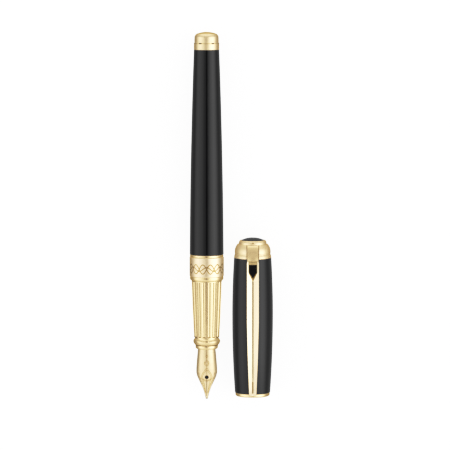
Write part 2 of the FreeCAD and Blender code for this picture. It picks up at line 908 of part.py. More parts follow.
def make_crown():
    """The band and bell-shaped crown that the clip comes out of, with the screw inside."""
    screw_hole = d.crown_screw_radius + d.play
    band = turned(
        "crown_band",
        [
            (screw_hole, d.plug_front),
            (d.shell_bore - d.fit_gap, d.plug_front),
            (d.shell_bore - d.fit_gap, d.shell_rear + d.face_gap),
            (d.band_radius, d.shell_rear + d.face_gap),
            (d.band_radius, d.shell_rear + 0.35, 0.05),
            (d.crown_groove_radius, d.band_rear),
            (screw_hole, d.band_rear),
        ],
        CAP_BASE,
    )
    cut_clip_slot(band, d.band_rear)
    crown = turned(
        "crown",
        [
            (screw_hole, d.band_rear + d.fit_gap),
            (d.crown_groove_radius, d.band_rear + d.fit_gap),
            (d.crown_groove_radius, d.band_rear + 0.3),
            (d.crown_radius, d.band_rear + 0.45, d.crown_swell),
            (d.crown_rear_radius, d.crown_rear),
            (screw_hole, d.crown_rear),
        ],
        CAP_BASE,
    )
    cut_clip_slot(crown, d.crown_rear)
    cross_hole = new_sketch(crown, "pin_hole", "YZ_Plane")
    draw_circle(cross_hole, d.pivot_at, d.pivot_height, d.pin_radius + d.fit_gap)
    drilled = crown.newObject("PartDesign::Pocket", "crown_pin_hole_pocket")
    drilled.Profile = cross_hole
    drilled.SideType = "Symmetric"
    bind(drilled, "Length", (d.pin_half_length + d.play) * 2)
    spring_seat = new_sketch(crown, "spring_seat", "XY_Plane", d.spring_foot)
    draw_circle(spring_seat, 0, d.spring_at, d.spring_radius + 0.15)
    seat = crown.newObject("PartDesign::Pocket", "crown_spring_seat_pocket")
    seat.Profile = spring_seat
    seat.Reversed = True
    bind(seat, "Length", d.slot_floor - d.spring_foot + 0.2)
    turned(
        "crown_screw",
        [
            (0, d.cup_floor - 0.9),
            (3.2, d.cup_floor - 0.9),
            (3.2, d.cup_floor - d.fit_gap),
            (d.crown_screw_radius, d.cup_floor - d.fit_gap),
            (d.crown_screw_radius, d.crown_rear - 0.1),
            (0, d.crown_rear - 0.1),
        ],
        CAP_BASE,
    )


def make_dome():
    """The bezel ring on the crown and the lacquered dome inside it."""
    turned(
        "bezel",
        [
            (d.bezel_bore, d.crown_rear + d.fit_gap),
            (d.bezel_radius, d.crown_rear + d.fit_gap),
            (d.bezel_radius, d.crown_rear + 0.55, 0.12),
            (d.dome_radius + 0.35, d.bezel_rear),
            (d.dome_radius + d.fit_gap, d.bezel_rear),
            (d.dome_radius + d.fit_gap, d.crown_rear + 0.7),
            (d.bezel_bore, d.crown_rear + 0.7),
        ],
        CAP_BASE,
    )
    turned(
        "crown_dome",
        [
            (0, d.crown_rear + d.fit_gap),
            (d.bezel_bore - d.fit_gap, d.crown_rear + d.fit_gap),
            (d.bezel_bore - d.fit_gap, d.crown_rear + 0.72),
            (d.dome_radius, d.crown_rear + 0.72),
            (d.dome_radius, d.bezel_rear, d.dome_swell),
            (d.dome_flat, d.cap_length),
            (0, d.cap_length),
        ],
        CAP_BASE,
    )


# ---------------------------------------------------------------- clip


def window_outline(inset):
    """The clip's five-sided window, seen from above, drawn in by inset on every side."""
    half = d.window_width / 2 - inset
    return [
        (0, d.window_point + inset),
        (half, d.window_shoulder + inset),
        (half, d.window_rear - inset),
        (-half, d.window_rear - inset),
        (-half, d.window_shoulder + inset),
    ]


def make_clip():
    """The bowed clip: a strap and lug in the crown's slot, a window, and a tip near the shell."""
    body = new_body("clip", CAP_BASE)
    side = new_sketch(body, "side", "YZ_Plane")
    tip_height = d.shell_front_radius + 0.25
    lug_floor = d.slot_floor + 0.25
    draw_outline(
        side,
        [
            (d.clip_front + 0.3, tip_height),
            (d.clip_front + 2.3, tip_height),
            (d.clip_front + 4.4, tip_height + 0.5, -d.clip_hollow),
            (d.strap_front - 1.7, d.shell_widest_radius + 0.15),
            (d.strap_front, d.shell_rear_radius + 0.21),
            (d.shell_rear + 0.2, d.shell_rear_radius + 0.11),
            (d.pivot_at - 1.6, d.pivot_height + 0.7),
            (d.pivot_at - 1.2, lug_floor),
            (d.pivot_at + 1.0, lug_floor),
            (d.strap_rear - d.play, d.pivot_height),
            (d.strap_rear, d.crown_rear_radius + 0.2, 0.12),
            (d.strap_rear - 2.8, d.crown_radius + 0.3),
            (d.strap_front + 0.6, d.shell_widest_radius + d.face_gap),
            (d.strap_front, d.shell_widest_radius + 0.1),
            (d.strap_front - 0.4, d.shell_widest_radius + 0.85, d.clip_bow),
            (d.clip_front + 2.6, d.shell_widest_radius + 0.2, 0.1),
            (d.clip_front, tip_height + 0.5),
        ],
    )
    pad = body.newObject("PartDesign::Pad", "clip_pad")
    pad.Profile = side
    pad.SideType = "Symmetric"
    bind(pad, "Length", d.clip_width)

    half, strap_half, tip_half = d.clip_width / 2, d.strap_width / 2, d.clip_tip_width / 2
    plan = [
        (tip_half, d.clip_front + d.tip_round, 0.12),
        (half, d.clip_taper_from),
        (half, d.strap_front - 0.4),
        (strap_half, d.strap_front),
        (strap_half, d.strap_rear + 1),
        (-strap_half, d.strap_rear + 1),
        (-strap_half, d.strap_front),
        (-half, d.strap_front - 0.4),
        (-half, d.clip_taper_from, 0.12),
        (-tip_half, d.clip_front + d.tip_round, d.tip_round - d.play),
    ]
    trim_to_outline(body, "plan", plan, 2)

    window = new_sketch(body, "window")
    draw_outline(window, window_outline(as_size(0)))
    pocket_through(body, window)
    pivot = new_sketch(body, "pivot_hole", "YZ_Plane")
    draw_circle(pivot, d.pivot_at, d.pivot_height, d.pin_radius + d.face_gap)
    pocket_through(body, pivot)

    inlay = new_body("clip_inlay", CAP_BASE)
    plate = new_sketch(inlay, "plate", "XY_Plane", d.inlay_floor)
    draw_outline(plate, window_outline(d.fit_gap * 2))
    block = inlay.newObject("PartDesign::Pad", "clip_inlay_pad")
    block.Profile = plate
    bind(block, "Length", d.inlay_thickness)


def make_pivot():
    """The clip's cross pin, and the small spring under its lug as a plain tube."""
    pin = new_body("clip_pin", CAP_BASE)
    section = new_sketch(pin, "section", "YZ_Plane")
    draw_circle(section, d.pivot_at, d.pivot_height, d.pin_radius)
    rod = pin.newObject("PartDesign::Pad", "clip_pin_pad")
    rod.Profile = section
    rod.SideType = "Symmetric"
    bind(rod, "Length", d.pin_half_length * 2)

    spring = new_body("clip_spring", CAP_BASE)
    foot = new_sketch(spring, "foot", "XY_Plane", d.spring_foot + d.fit_gap)
    draw_circle(foot, 0, d.spring_at, d.spring_radius)
    draw_circle(foot, 0, d.spring_at, d.spring_radius - d.spring_wire)
    coil = spring.newObject("PartDesign::Pad", "clip_spring_pad")
    coil.Profile = foot
    bind(coil, "Length", d.spring_top - d.spring_foot)


# ---------------------------------------------------------------- build and write


def check_and_write(folder):
    """Recomputes, refuses any failed object or poor solid, and writes one file per sub-part."""
    doc.recompute()
    failed = [o.Name for o in doc.Objects if "Invalid" in o.State or "Error" in o.State]
    if failed:
        raise RuntimeError(f"failed objects: {failed}")
    for body in subparts:
        shape = body.Shape
        if shape.isNull() or not shape.isValid() or len(shape.Solids) != 1:
            raise RuntimeError(f"{body.Label} is not one valid solid")
    os.makedirs(folder, exist_ok=True)
    for body in subparts:
        body.Shape.exportStep(os.path.join(folder, f"{body.Label}.step"))
        print(f"{body.Label}: {body.Shape.Volume:.2f} mm3")


make_collar()
make_grip()
make_front_rings()
make_core()
make_nib()
make_tipping()
make_feed()
make_converter()
make_piston()
make_knob()
make_barrel()
make_tail()
make_cap_tube()
make_crown()
make_dome()
make_clip()
make_pivot()
check_and_write("parts")
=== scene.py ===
"""The looks of a fountain pen and its cap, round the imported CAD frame.  Metres, +Z up, nib towards -Y."""

import json
import math

import bpy
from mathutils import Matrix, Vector
from mathutils.bvhtree import BVHTree


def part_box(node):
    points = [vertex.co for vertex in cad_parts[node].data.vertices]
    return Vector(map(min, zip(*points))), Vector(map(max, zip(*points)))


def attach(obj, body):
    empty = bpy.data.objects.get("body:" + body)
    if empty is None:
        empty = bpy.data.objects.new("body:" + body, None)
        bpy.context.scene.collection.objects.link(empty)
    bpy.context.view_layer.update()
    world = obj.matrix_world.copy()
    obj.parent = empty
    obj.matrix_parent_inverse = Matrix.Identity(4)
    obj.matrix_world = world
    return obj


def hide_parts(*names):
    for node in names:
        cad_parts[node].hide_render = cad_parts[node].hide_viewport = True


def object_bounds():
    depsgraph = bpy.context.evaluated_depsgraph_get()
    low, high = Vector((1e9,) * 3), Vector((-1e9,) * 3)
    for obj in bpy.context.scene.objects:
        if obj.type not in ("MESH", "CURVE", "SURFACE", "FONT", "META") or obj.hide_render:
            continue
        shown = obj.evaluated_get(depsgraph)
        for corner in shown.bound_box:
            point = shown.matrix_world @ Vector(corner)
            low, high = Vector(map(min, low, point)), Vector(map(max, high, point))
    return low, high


MM = 0.001

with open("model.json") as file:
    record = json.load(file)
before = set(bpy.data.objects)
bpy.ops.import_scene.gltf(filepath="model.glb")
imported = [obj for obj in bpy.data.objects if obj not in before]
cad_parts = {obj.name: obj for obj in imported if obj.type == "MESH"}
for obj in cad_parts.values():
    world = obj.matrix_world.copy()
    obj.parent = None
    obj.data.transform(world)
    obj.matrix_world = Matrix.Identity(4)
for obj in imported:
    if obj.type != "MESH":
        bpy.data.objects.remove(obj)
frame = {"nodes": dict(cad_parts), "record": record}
cad_low, cad_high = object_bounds()
nodes = frame["nodes"]


# ---------------------------------------------------------------- materials

# Nearly all of a noise texture's values lie in this range.
NOISE_LOW, NOISE_HIGH = 0.3, 0.7


class Shader:
    """A node material built round one Principled BSDF, with object coordinates for its textures."""

    def __init__(self, name, colour, roughness, **sockets):
        self.material = bpy.data.materials.new(name)
        self.material.use_nodes = True
        self.material.diffuse_color = (*colour, 1)
        self.tree = self.material.node_tree
        self.bsdf = self.tree.nodes["Principled BSDF"]
        self.set("Base Color", (*colour, 1))
        self.set("Roughness", roughness)
        for socket, value in sockets.items():
            self.set(socket.replace("_", " "), value)
        self.colour = colour
        self.roughness = roughness
        self.coordinates = self.node("ShaderNodeTexCoord").outputs["Object"]

    def set(self, socket, value):
        self.bsdf.inputs[socket].default_value = value

    def node(self, kind, **settings):
        made = self.tree.nodes.new(kind)
        for name, value in settings.items():
            setattr(made, name, value)
        return made

    def link(self, output, socket):
        self.tree.links.new(output, socket)

    def noise(self, scale, detail=3.0, stretch=(1, 1, 1)):
        """Noise over object coordinates, scale in features per metre, stretched along the axes."""
        mapping = self.node("ShaderNodeMapping")
        mapping.inputs["Scale"].default_value = stretch
        self.link(self.coordinates, mapping.inputs["Vector"])
        texture = self.node("ShaderNodeTexNoise")
        texture.inputs["Scale"].default_value = scale
        texture.inputs["Detail"].default_value = detail
        self.link(mapping.outputs["Vector"], texture.inputs["Vector"])
        return texture.outputs["Fac"]

    def spread(self, noise, low, high):
        """The noise mapped on low..high."""
        mapped = self.node("ShaderNodeMapRange")
        limits = (("From Min", NOISE_LOW), ("From Max", NOISE_HIGH), ("To Min", low), ("To Max", high))
        for socket, value in limits:
            mapped.inputs[socket].default_value = value
        self.link(noise, mapped.inputs["Value"])
        return mapped.outputs["Result"]

    def vary_roughness(self, noise, share):
        """Roughness that wanders by a share of its value either way."""
        spread = self.spread(noise, self.roughness * (1 - share), self.roughness * (1 + share))
        self.link(spread, self.bsdf.inputs["Roughness"])

    def vary_colour(self, noise, share):
        """Base colour that wanders between a darker and a lighter shade."""
        mix = self.node("ShaderNodeMix", data_type="RGBA")
        for socket, sign in (("A", -1), ("B", 1)):
            shade = [min(1.0, c * (1 + sign * share)) for c in self.colour]
            next(i for i in mix.inputs if i.name == socket and i.type == "RGBA").default_value = (*shade, 1)
        self.link(self.spread(noise, 0, 1), mix.inputs["Factor"])
        self.link(next(o for o in mix.outputs if o.type == "RGBA"), self.bsdf.inputs["Base Color"])

    def bump(self, noise, height):
        """A relief of the given height in metres."""
        bump = self.node("ShaderNodeBump")
        bump.inputs["Strength"].default_value = 1
        bump.inputs["Distance"].default_value = height
        self.link(noise, bump.inputs["Height"])
        self.link(bump.outputs["Normal"], self.bsdf.inputs["Normal"])


def polished_metal(name, colour, roughness, edge=(1.0, 1.0, 1.0)):
    """Plated metal with faint hairlines and a slightly uneven polish; edge tints its grazing reflections."""
    shader = Shader(name, colour, roughness, Metallic=1.0, Specular_Tint=(*edge, 1))
    shader.vary_roughness(shader.noise(900, detail=4, stretch=(1, 0.15, 1)), share=0.15)
    shader.vary_colour(shader.noise(160), share=0.02)
    shader.bump(shader.noise(2600, detail=2, stretch=(1, 0.08, 1)), height=0.0004 * MM)
    return shader.material


def lacquer(name, colour):
    """Deep polished lacquer with a very faint orange peel."""
    shader = Shader(name, colour, 0.05, IOR=1.5)
    shader.vary_roughness(shader.noise(300, detail=5), share=0.25)
    shader.vary_colour(shader.noise(90), share=0.2)
    shader.bump(shader.noise(500, detail=2), height=0.002 * MM)
    return shader.material


def moulded(name, colour, roughness, gloss):
    """Moulded plastic or rubber with a fine grain."""
    shader = Shader(name, colour, roughness, Specular_IOR_Level=gloss)
    shader.vary_roughness(shader.noise(1500), share=0.2)
    shader.vary_colour(shader.noise(200), share=0.1)
    shader.bump(shader.noise(1500, detail=2), height=0.004 * MM)
    return shader.material


def clear_plastic(name, colour):
    """Clear moulded plastic of the converter's tube."""
    shader = Shader(name, colour, 0.06, Transmission_Weight=1.0, IOR=1.49)
    shader.vary_roughness(shader.noise(400), share=0.3)
    return shader.material


# Colour and roughness of the visible golds, which share one tint at grazing angles. They are copies of one
# gold, each made darker or paler to match how brightly its part shows: painted shade in the darker grip and
# nib golds, painted light in the paler soft gold.
GOLD_EDGE = (1.0, 0.76, 0.28)
GOLDS = {
    "gold": ((0.94, 0.73, 0.42), 0.25),
    "soft_gold_painted_light": ((0.97, 0.79, 0.54), 0.37),
    "grip_gold_painted_shade": ((0.81, 0.635, 0.37), 0.27),
    "crown_gold": ((0.94, 0.75, 0.47), 0.42),
    "tail_gold": ((0.88, 0.71, 0.45), 0.36),
    "nib_gold": ((0.82, 0.655, 0.41), 0.30),
    "clip_gold": ((0.92, 0.76, 0.51), 0.22),
}
# Colour and roughness of gold darkened into painted shade in engraved lines, grooves, gaps and sinks, and of
# the metals inside.
OTHER_METALS = {
    "painted_shade_brown": ((0.42, 0.28, 0.10), 0.4),
    "painted_shade_gold": ((0.68, 0.52, 0.26), 0.36),
    "painted_shade_deep": ((0.30, 0.20, 0.08), 0.4),
    "tipping_alloy": ((0.66, 0.56, 0.40), 0.35),
    "brass_core": ((0.80, 0.62, 0.34), 0.35),
    "converter_gold": ((0.93, 0.73, 0.42), 0.25),
    "steel": ((0.62, 0.62, 0.63), 0.3),
}
# Colour, roughness and gloss of plastic and rubber. The inlay black is the clip inlay's own colour and also
# painted shade over the nib's slit and hole and the tail's notches.
MOULDINGS = {
    "inlay_black_and_painted_shade": ((0.006, 0.005, 0.005), 0.35, 0.1),
    "feed_black": ((0.010, 0.010, 0.011), 0.45, 0.25),
    "knob_black": ((0.02, 0.02, 0.021), 0.3, 0.5),
    "piston_plastic": ((0.75, 0.75, 0.73), 0.4, 0.5),
    "rubber_black": ((0.018, 0.018, 0.018), 0.6, 0.5),
    "liner_plastic": ((0.03, 0.03, 0.032), 0.5, 0.5),
}
# CAD nodes that don't take their slot's material.
OWN_MATERIAL = {
    "collar_band": "soft_gold_painted_light",
    "grip": "grip_gold_painted_shade",
    "crown": "crown_gold",
    "crown_band": "crown_gold",
    "bezel": "crown_gold",
    "tail_ring": "tail_gold",
    "tail_cap": "tail_gold",
    "clip_inlay": "inlay_black_and_painted_shade",
}


def make_materials():
    made = {
        "lacquer_black": lacquer("lacquer_black", (0.004, 0.004, 0.0045)),
        "converter_clear": clear_plastic("converter_clear", (0.93, 0.95, 0.96)),
    }
    for name, (colour, roughness) in GOLDS.items():
        made[name] = polished_metal(name, colour, roughness, GOLD_EDGE)
    for name, (colour, roughness) in OTHER_METALS.items():
        made[name] = polished_metal(name, colour, roughness)
    for name, (colour, roughness, gloss) in MOULDINGS.items():
        made[name] = moulded(name, colour, roughness, gloss)
    return made


materials = make_materials()


def dress_cad_nodes():
    """Gives every CAD node the material of its slot in the record, or its own."""
    for part in frame["record"]["subparts"]:
        node = nodes[part["node"]]
        material = OWN_MATERIAL.get(part["node"], part["material_slot"])
        node.data.materials.clear()
        node.data.materials.append(materials[material])
        node.visible_glossy = False


# ---------------------------------------------------------------- mesh helpers


def add_piece(name, shape, material, body, crease=30):
    """A named mesh piece that rides on its CAD body, smooth but for edges sharper than the crease."""
    points, faces = shape
    mesh = bpy.data.meshes.new(name)
    mesh.from_pydata([tuple(p) for p in points], [], faces)
    mesh.materials.append(materials[material])
    mesh.shade_smooth()
    mesh.set_sharp_from_angle(angle=math.radians(crease))
    piece = bpy.data.objects.new(name, mesh)
    bpy.context.scene.collection.objects.link(piece)
    piece.visible_glossy = False
    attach(piece, body)
    return piece


def skin(rows, ends=True):
    """Points and faces of a tube through closed rows of points, with its ends closed unless told not to."""
    points = [point for row in rows for point in row]
    size = len(rows[0])
    faces = []
    for start in range(0, len(points) - size, size):
        for i in range(size):
            j = (i + 1) % size
            faces.append((start + i, start + j, start + size + j, start + size + i))
    if ends:
        faces.append(tuple(reversed(range(size))))
        faces.append(tuple(range(len(points) - size, len(points))))
    return points, faces


def merge(shapes):
    """One points and faces pair from several."""
    points, faces = [], []
    for some_points, some_faces in shapes:
        start = len(points)
        points += some_points
        faces += [tuple(start + i for i in face) for face in some_faces]
    return points, faces


def between(table, at):
    """Straight-line reading of a table of (where, value) pairs, sorted by where."""
    if at <= table[0][0]:
        return table[0][1]
    for (a, low), (b, high) in zip(table, table[1:]):
        if at <= b:
            return low + (high - low) * (at - a) / (b - a)
    return table[-1][1]


def centre_of(node):
    low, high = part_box(node)
    return (low + high) / 2


def circle_angles(count):
    return [math.tau * i / count for i in range(count)]


def arc_angles(index, count, half):
    """Five angles over one of several equally spaced arcs, none of which is centred straight up."""
    middle = math.tau * (index + 0.5) / count
    return [middle + half * share for share in (-1, -0.5, 0, 0.5, 1)]


def outward(angle):
    """The direction away from an axis along Y, by its angle from straight up towards +X."""
    return Vector((math.sin(angle), 0, math.cos(angle)))


def round_place(axis, y, angle, radius):
    """A place at a radius from an axis along Y, and the direction outward there."""
    out = outward(angle)
    return Vector((axis.x, y, axis.z)) + out * radius, out


def oval_stack(place, half_width, half_length, layers, count):
    """A low solid of ovals at a place, in millimetres; a layer is a share of the half sizes, and a height."""

    def oval(share, height):
        for angle in circle_angles(count):
            x, y = half_width * math.cos(angle), half_length * math.sin(angle)
            yield place + Vector((x * share, y * share, height)) * MM

    return skin([list(oval(share, height)) for share, height in layers])


def turned_band(name, node, profile, material, body):
    """A thin band turned round a node's axis; its profile is millimetres behind the front, and radius."""
    centre, front, thickness = centre_of(node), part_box(node)[0].y, 0.12
    inner = [(at, radius - thickness) for at, radius in reversed(profile)]
    rows = [
        [round_place(centre, front + at * MM, angle, radius * MM)[0] for at, radius in [*profile, *inner]]
        for angle in circle_angles(96)
    ]
    add_piece(name, skin(rows + rows[:1], ends=False), material, body)


# ---------------------------------------------------------------- lines laid on a surface


class Surface:
    """The skin of a CAD node, for laying lines on it."""

    def __init__(self, node):
        mesh, world = nodes[node].data, nodes[node].matrix_world
        places = [world @ vertex.co for vertex in mesh.vertices]
        self.tree = BVHTree.FromPolygons(places, [polygon.vertices for polygon in mesh.polygons])
        self.axis = centre_of(node)
        self.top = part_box(node)[1].z + MM

    def under(self, x, y):
        """The place and the normal of the surface straight below a point."""
        place, normal, _, _ = self.tree.ray_cast(Vector((x, y, self.top)), Vector((0, 0, -1)))
        return place, normal

    def inward(self, angle, y):
        """The place and the normal of the surface seen from outside towards the node's axis."""
        start, out = round_place(self.axis, y, angle, 20 * MM)
        place, normal, _, _ = self.tree.ray_cast(start, -out)
        return place, normal


def ribbon(route, width, rise=0.012 * MM):
    """Points and faces of a thin flat line along a route of (place, normal) pairs, standing just proud."""
    top_share = 0.7
    rows = []
    for i, (place, normal) in enumerate(route):
        before, after = route[max(i - 1, 0)][0], route[min(i + 1, len(route) - 1)][0]
        side = normal.cross(after - before).normalized() * width / 2
        top, lift = side * top_share, normal * rise
        rows.append([place - side - lift, place + side - lift, place + top + lift, place - top + lift])
    return skin(rows)


def straight_route(corners, steps=5):
    """Points along straight lines between the corners."""
    route = [
        tuple(p + (q - p) * step / steps for p, q in zip(a, b))
        for a, b in zip(corners, corners[1:])
        for step in range(steps)
    ]
    return route + [corners[-1]]


def curve_point(four_corners, t):
    """A point of the soft curve from the second to the third of four corners, t from 0 to 1."""
    return tuple(
        0.5 * (2 * q + (r - p) * t + (2 * p - 5 * q + 4 * r - s) * t**2 + (3 * q - p - 3 * r + s) * t**3)
        for p, q, r, s in zip(*four_corners)
    )


def smooth_route(corners, closed=False, steps=6):
    """Points along a soft curve through the corners."""
    count = len(corners)

    def corner(i):
        return corners[i % count if closed else min(max(i, 0), count - 1)]

    route = [
        curve_point([corner(i + shift) for shift in (-1, 0, 1, 2)], step / steps)
        for i in range(count if closed else count - 1)
        for step in range(steps)
    ]
    return route + [route[0] if closed else corners[-1]]


# ---------------------------------------------------------------- nib

# Plans on the nib are in millimetres: across, and back from the nib's point.
NIB_POINT = Vector((centre_of("nib").x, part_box("nib")[0].y, 0))
NIB_LINE = 0.17 * MM
HOLE_AT = 7.4
SLIT_FROM = 0.55
# The right half of the outlines round the hole, as distances from the hole, and the outlines' sizes.
ALMOND = ((0, 3.3), (0.75, 2.35), (1.55, 1.1), (1.85, 0.2), (1.55, -0.75), (0.8, -1.25), (0, -1.4))
ALMOND_SIZES = (1.0, 0.8)
# The border along a tine: how far back, and how far out.
TINE_BORDER = ((9.0, 2.75), (7.6, 2.55), (6.2, 2.0), (4.6, 1.28), (3.2, 0.82), (1.8, 0.55))
# A leaf ends on the border: shares of the border's reach there, and how far before its end.
LEAF = ((0.45, 0.7), (0.7, 0.15), (1, 0))
LEAVES, FIRST_LEAF, LEAF_PITCH = 9, 7.0, 0.6
MIDDLE_LINE = ((0, 8.1), (0, 17.6))
LOZENGE = ((0, 15.45), (0.4, 14.9), (0, 14.35), (-0.4, 14.9), (0, 15.45))
RING_AT, RING_HALF_WIDTH, RING_HALF_LENGTH = 12.4, 0.8, 0.9
RING_ARC = ((0.2, 11.9), (0.55, 12.4), (0.2, 12.9))


def on_nib(surface, x, y):
    """The place and the normal on the nib's upper side at a point of its plan."""
    return surface.under(NIB_POINT.x + x * MM, NIB_POINT.y + y * MM)


def hole_outlines():
    """Plans of the two almond outlines round the breather hole."""
    plans = []
    for size in ALMOND_SIZES:
        outline = [(x * size, HOLE_AT + y * size) for x, y in ALMOND]
        mirrored = [(-x, y) for x, y in reversed(outline[1:-1])]
        plans.append(smooth_route(outline + mirrored, closed=True))
    return plans


def tine_lines(side):
    """Plans of a tine's border and of the leaves that run out to it."""
    plans = [smooth_route([(side * x, y) for y, x in TINE_BORDER])]
    for leaf in range(LEAVES):
        at = FIRST_LEAF - leaf * LEAF_PITCH
        reach = side * between(sorted(TINE_BORDER), at)
        plans.append(smooth_route([(reach * share, at - before) for share, before in LEAF]))
    return plans


def rear_motifs():
    """Plans of the line behind the hole, the lozenge on it, and the ring with its two arcs."""
    ring = [
        (RING_HALF_WIDTH * math.cos(angle), RING_AT + RING_HALF_LENGTH * math.sin(angle))
        for angle in circle_angles(12)
    ]
    arcs = [smooth_route([(side * x, y) for x, y in RING_ARC]) for side in (-1, 1)]
    return [straight_route(MIDDLE_LINE), straight_route(LOZENGE), smooth_route(ring, closed=True), *arcs]


def engrave_nib(surface):
    """A generic border of engraved lines and leaves round the breather hole and along the tines, dark with
    painted shade in the cuts.
    """
    parts = []
    for plan in [*hole_outlines(), *tine_lines(-1), *tine_lines(1), *rear_motifs()]:
        route = [on_nib(surface, x, y) for x, y in plan]
        parts.append(ribbon([pair for pair in route if pair[0]], NIB_LINE))
    add_piece("nib_engraving", merge(parts), "painted_shade_brown", "section")


def shade_slit(surface):
    """A dark line over the slit from near the nib's point to the hole, level with the metal beside it:
    painted shade for the narrow gap, where shade and the black feed show.
    """
    steps, beside = 24, 0.12
    route = []
    for step in range(steps + 1):
        place, normal = on_nib(surface, beside, SLIT_FROM + (HOLE_AT - SLIT_FROM) * step / steps)
        if place:
            up = Vector((0, normal.y, normal.z)).normalized()
            route.append((Vector((NIB_POINT.x, place.y, place.z)), up))
    add_piece("nib_slit_shade", ribbon(route, width=0.2 * MM), "inlay_black_and_painted_shade", "section")


def shade_hole(surface):
    """A ring of painted shade round the breather hole, open where the slit comes in, which makes the dark
    hole look wider.
    """
    steps, radius, half_gap = 24, 0.62, 0.2
    route = []
    for step in range(steps + 1):
        angle = math.pi + half_gap + (math.tau - 2 * half_gap) * step / steps
        route.append(on_nib(surface, radius * math.sin(angle), HOLE_AT + radius * math.cos(angle)))
    add_piece("nib_hole_painted_shade", ribbon(route, width=0.16 * MM), "inlay_black_and_painted_shade", "section")


def finish_nib():
    surface = Surface("nib")
    engrave_nib(surface)
    shade_slit(surface)
    shade_hole(surface)


# ---------------------------------------------------------------- collar, bead, grip and tail

# Three waves cross on the collar: the phase of each, and its share of the swing.
WAVES = ((0, 1.0), (math.pi, 1.0), (math.pi / 2, 0.45))
WAVES_ROUND, WAVE_SWING = 7, 1.6 * MM
# The bead's boss in millimetres, and its layers: a share of the half sizes, and a height.
BOSS_HALF_WIDTH, BOSS_HALF_LENGTH = 0.85, 0.62
BOSS_LAYERS = ((1.0, -0.5), (1.0, -0.02), (0.93, 0.0585), (0.75, 0.104), (0.4, 0.13))
# Profiles of the bands of painted shade in the turned grooves: how far behind the node's front, and radius.
BEAD_GROOVE_SHADE = ((-0.22, 3.96), (-0.02, 4.07), (0.03, 4.09), (0.2, 4.22))
TAIL_GROOVE_SHADE = ((-0.28, 4.37), (0.02, 4.37))
# How many arcs of painted shade lie round the grip's flute ends and the tail's notches, and half the angle of
# each.
FLUTES, FLUTE_HALF = 16, math.radians(6.5)
NOTCHES, NOTCH_HALF = 6, 0.12


def engrave_collar():
    """A generic border of crossing engraved waves round the collar band, dark with painted shade in the cuts.
    """
    centre = centre_of("collar_band")
    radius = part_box("collar_band")[1].x - centre.x
    middle = centre.y - 0.5 * MM
    parts = []
    for phase, share in WAVES:
        route = []
        for angle in [*circle_angles(360), math.tau]:
            y = middle + WAVE_SWING * share * math.sin(WAVES_ROUND * angle + phase)
            route.append(round_place(centre, y, angle, radius))
        parts.append(ribbon(route, width=0.34 * MM, rise=0.006 * MM))
    add_piece("collar_engraving", merge(parts), "painted_shade_brown", "section")


def make_bead_boss():
    """The small oval boss on top of the bead, its foot sunk in the bead."""
    centre = centre_of("bead_ring")
    top = Vector((centre.x, centre.y + 0.1 * MM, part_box("bead_ring")[1].z))
    boss = oval_stack(top, BOSS_HALF_WIDTH, BOSS_HALF_LENGTH, BOSS_LAYERS, 32)
    add_piece("bead_boss", boss, "gold", "section", crease=60)


def make_bead_groove_shade():
    """A band of painted shade in the turned groove between the bead and the lip ring."""
    turned_band("bead_groove_shade", "bead_ring", BEAD_GROOVE_SHADE, "painted_shade_deep", "section")


def make_flute_end_shade():
    """Short arcs of painted shade where the grip's flutes end before the bead."""
    surface = Surface("grip")
    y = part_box("grip")[0].y + 0.28 * MM
    parts = []
    for flute in range(FLUTES):
        route = [surface.inward(angle, y) for angle in arc_angles(flute, FLUTES, FLUTE_HALF)]
        parts.append(ribbon(route, width=0.34 * MM, rise=0.015 * MM))
    add_piece("flute_end_shade", merge(parts), "painted_shade_deep", "section")


def make_tail_groove_shade():
    """Painted shade: a band in the turned groove between tail ring and cap, and dark marks for small key
    notches.
    """
    turned_band("tail_groove_shade", "tail_cap", TAIL_GROOVE_SHADE, "painted_shade_gold", "barrel")
    axis, radius = centre_of("tail_cap"), TAIL_GROOVE_SHADE[0][1] * MM
    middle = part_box("tail_cap")[0].y - 0.13 * MM
    parts = []
    for notch in range(NOTCHES):
        route = [round_place(axis, middle, angle, radius) for angle in arc_angles(notch, NOTCHES, NOTCH_HALF)]
        parts.append(ribbon(route, width=0.38 * MM, rise=0.02 * MM))
    add_piece("tail_notch_shade", merge(parts), "inlay_black_and_painted_shade", "barrel")


# ---------------------------------------------------------------- clip

# The cap is measured in millimetres: across and up from its axis, and stations along Y, where the lip ring's
# front is at 0.3.
CAP_AXIS = centre_of("cap_shell")
CAP_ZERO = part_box("cap_lip")[0].y - 0.3 * MM

CLIP_FRONT = 1.1
BOW_FROM, BOW_TO = 3, 47.6  # the bow of the upper edges, behind the tip's rounding
WINDOW_TIP, INLAY_TIP = 41.3, 42.7
WINDOW_WIDE = 44.3  # the window has its full width from here
WINDOW_REAR = 47.0  # its floor rises from here
STRAP_FROM = 47.8  # the upper edges follow STRAP_TOP from here
WINDOW_LEDGE = 48.15  # the window ends here

# The clip's half width by station.
CLIP_WIDTH = (
    (1.1, 0.95), (1.18, 1.12), (1.3, 1.24), (1.55, 1.31), (14, 1.78),
    (27, 2.1), (47.6, 2.1), (48.1, 1.95), (53.3, 1.95),
)
# The height of its underside, which falls to the lug.
CLIP_UNDER = (
    (1.1, 6.62), (1.4, 6.45), (3.4, 6.45), (5.5, 6.95), (15, 7.35),
    (25, 7.6), (36, 7.55), (46.3, 7.28), (48.0, 6.75), (48.9, 6.6),
    (49.6, 5.35), (50.0, 4.05), (52.2, 4.05), (53.2, 4.65), (53.3, 4.75),
)
